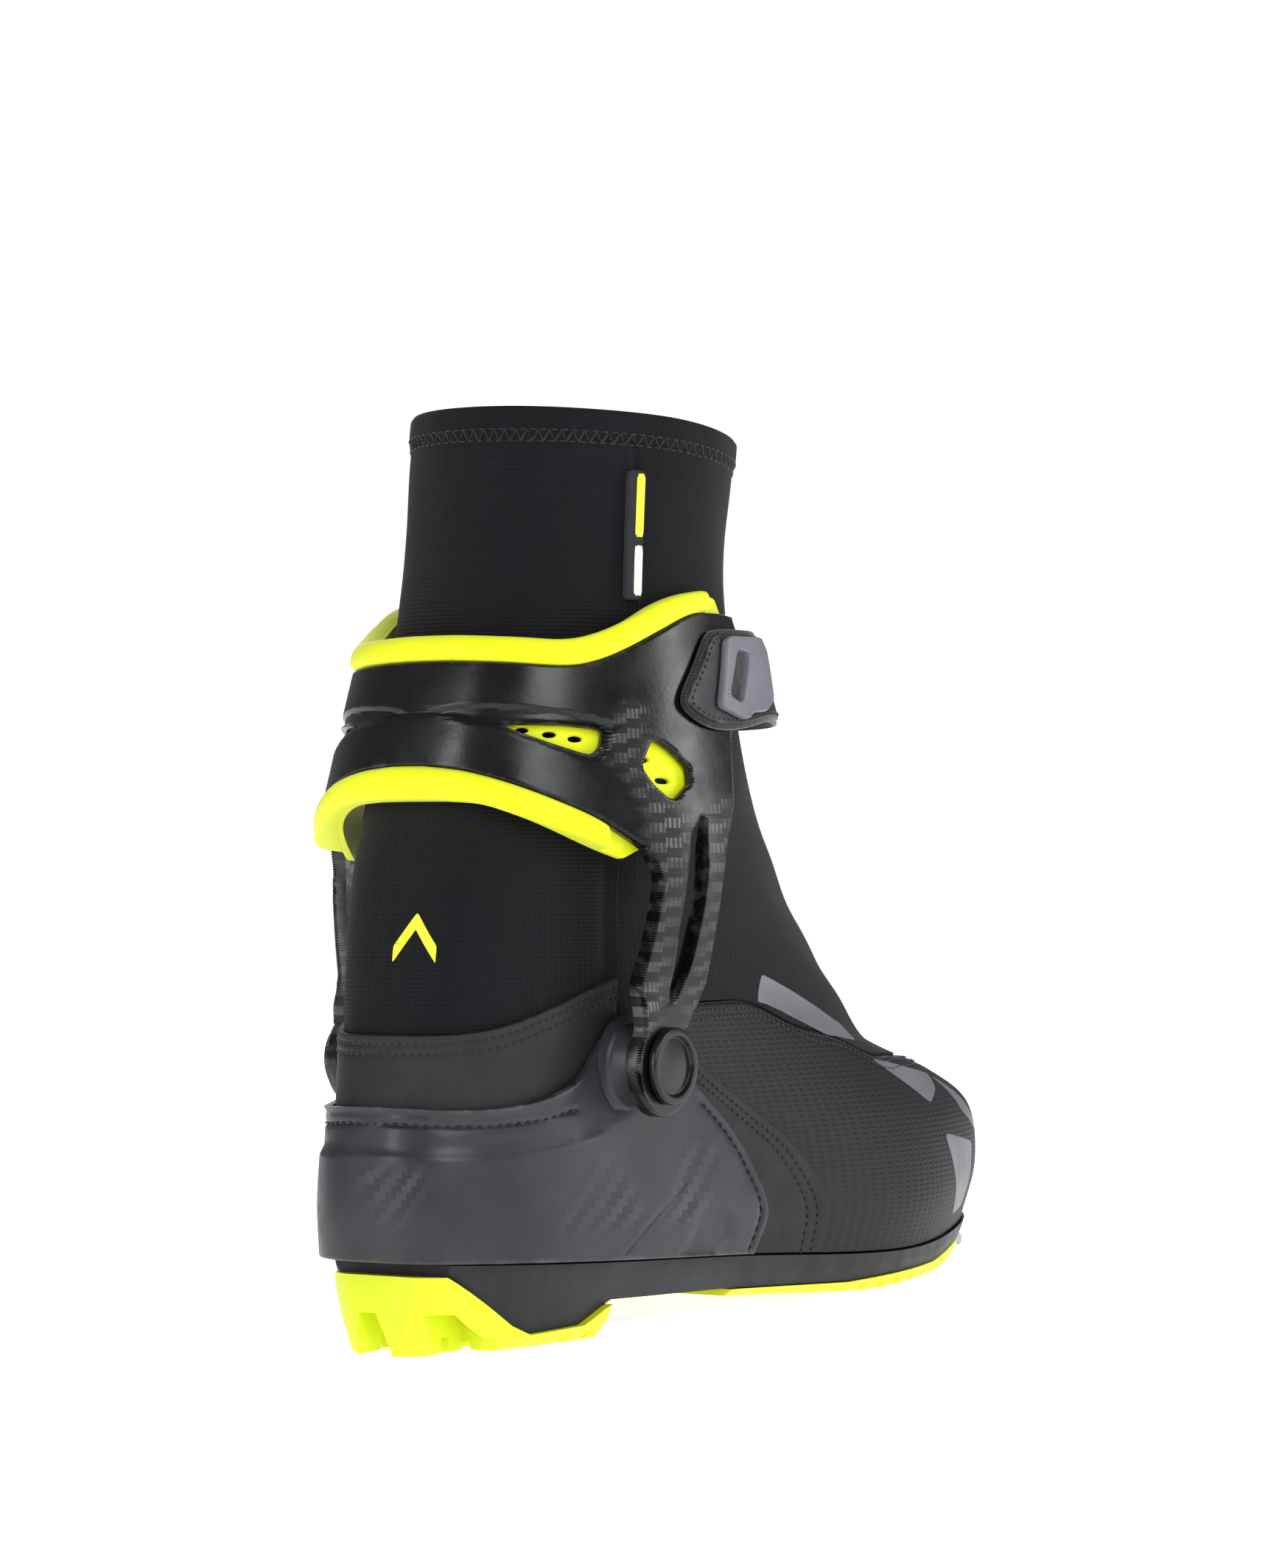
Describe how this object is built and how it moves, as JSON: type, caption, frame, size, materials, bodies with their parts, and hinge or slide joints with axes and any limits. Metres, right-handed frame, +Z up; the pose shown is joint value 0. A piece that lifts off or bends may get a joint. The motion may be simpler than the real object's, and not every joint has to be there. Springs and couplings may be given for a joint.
{
  "type": "cross country ski boot",
  "caption": "Ankle-high skating ski boot with a moulded heel counter, a hinged plastic cuff on side pivots, a closure strap, a zipped stretch gaiter and a grooved sole with a steel toe bar.",
  "frame": {"origin": "flat underside of the heel outsole's middle rib, on the floor, under the heel", "axes": "+X from heel to toe, +Y to the inner (left) side of this right boot, +Z up"},
  "size_m": [0.2965, 0.1235, 0.2557],
  "materials": {
    "yellow_rubber": "matte moulded sole rubber, neon yellow",
    "yellow_foam": "soft moulded foam, neon yellow",
    "chassis_plastic": "matte moulded sole chassis, dark grey",
    "counter_plastic": "satin moulded heel counter, blue grey",
    "cuff_plastic": "satin black moulded plastic",
    "softshell": "fine stretch softshell, near black",
    "coated_fabric": "coated fabric with a fine weave, dark grey",
    "synthetic_leather": "matte synthetic leather, charcoal",
    "lining": "brushed lining, black",
    "webbing": "dense textile, black",
    "grey_plastic": "matte light grey plastic",
    "steel": "fine steel",
    "board_fibre": "pressed fibre board"
  },
  "bodies": {
    "foot": {"outsole_heel": "yellow_rubber", "outsole_forefoot": "yellow_rubber", "midsole": "chassis_plastic", "toe_bar": "steel", "lasting_board": "board_fibre", "footbed": "lining", "vamp": "coated_fabric", "quarter_sleeve": "softshell", "flex_sleeve": "softshell", "ankle_band": "synthetic_leather", "heel_counter": "counter_plastic", "heel_padding": "lining", "tongue": "lining", "overlay_outer": "synthetic_leather", "overlay_inner": "synthetic_leather", "pivot_pin_outer": "steel", "pivot_pin_inner": "steel", "pivot_washer_outer": "grey_plastic", "pivot_washer_inner": "grey_plastic", "pivot_cap_outer": "cuff_plastic", "pivot_cap_inner": "cuff_plastic"},
    "cuff": {"cuff_shell": "cuff_plastic", "cuff_liner": "yellow_foam", "gaiter": "softshell", "gaiter_hem": "softshell", "seam_tab": "webbing", "strap_anchor": "webbing", "anchor_rivet": "steel", "zip_chain": "webbing"},
    "strap": {"strap": "webbing", "strap_pull": "grey_plastic"},
    "zip_slider": {"zip_slider": "steel"},
    "zip_pull": {"zip_pull": "webbing"}
  },
  "joints": [
    {"name": "cuff_pivot", "type": "hinge", "parent": "foot", "child": "cuff", "pos_m": [0.03382, 0, 0.07428], "axis": [0, 1, 0], "range_deg": [-5, 15], "stiffness_Nm_per_rad": 6, "deforming": ["flex_sleeve"]},
    {"name": "strap_open", "type": "hinge", "parent": "cuff", "child": "strap", "pos_m": [0.08175, 0.05398, 0.18084], "axis": [-0.1052, -0.1867, 0.9768], "range_deg": [0, 65]},
    {"name": "zip_slide", "type": "slide", "parent": "cuff", "child": "zip_slider", "axis": [0.0028, 0, -1], "range_m": [0, 0.016]},
    {"name": "pull_swing", "type": "hinge", "parent": "zip_slider", "child": "zip_pull", "pos_m": [0.12796, 0, 0.22306], "axis": [0, -1, 0], "range_deg": [0, 150]}
  ]
}
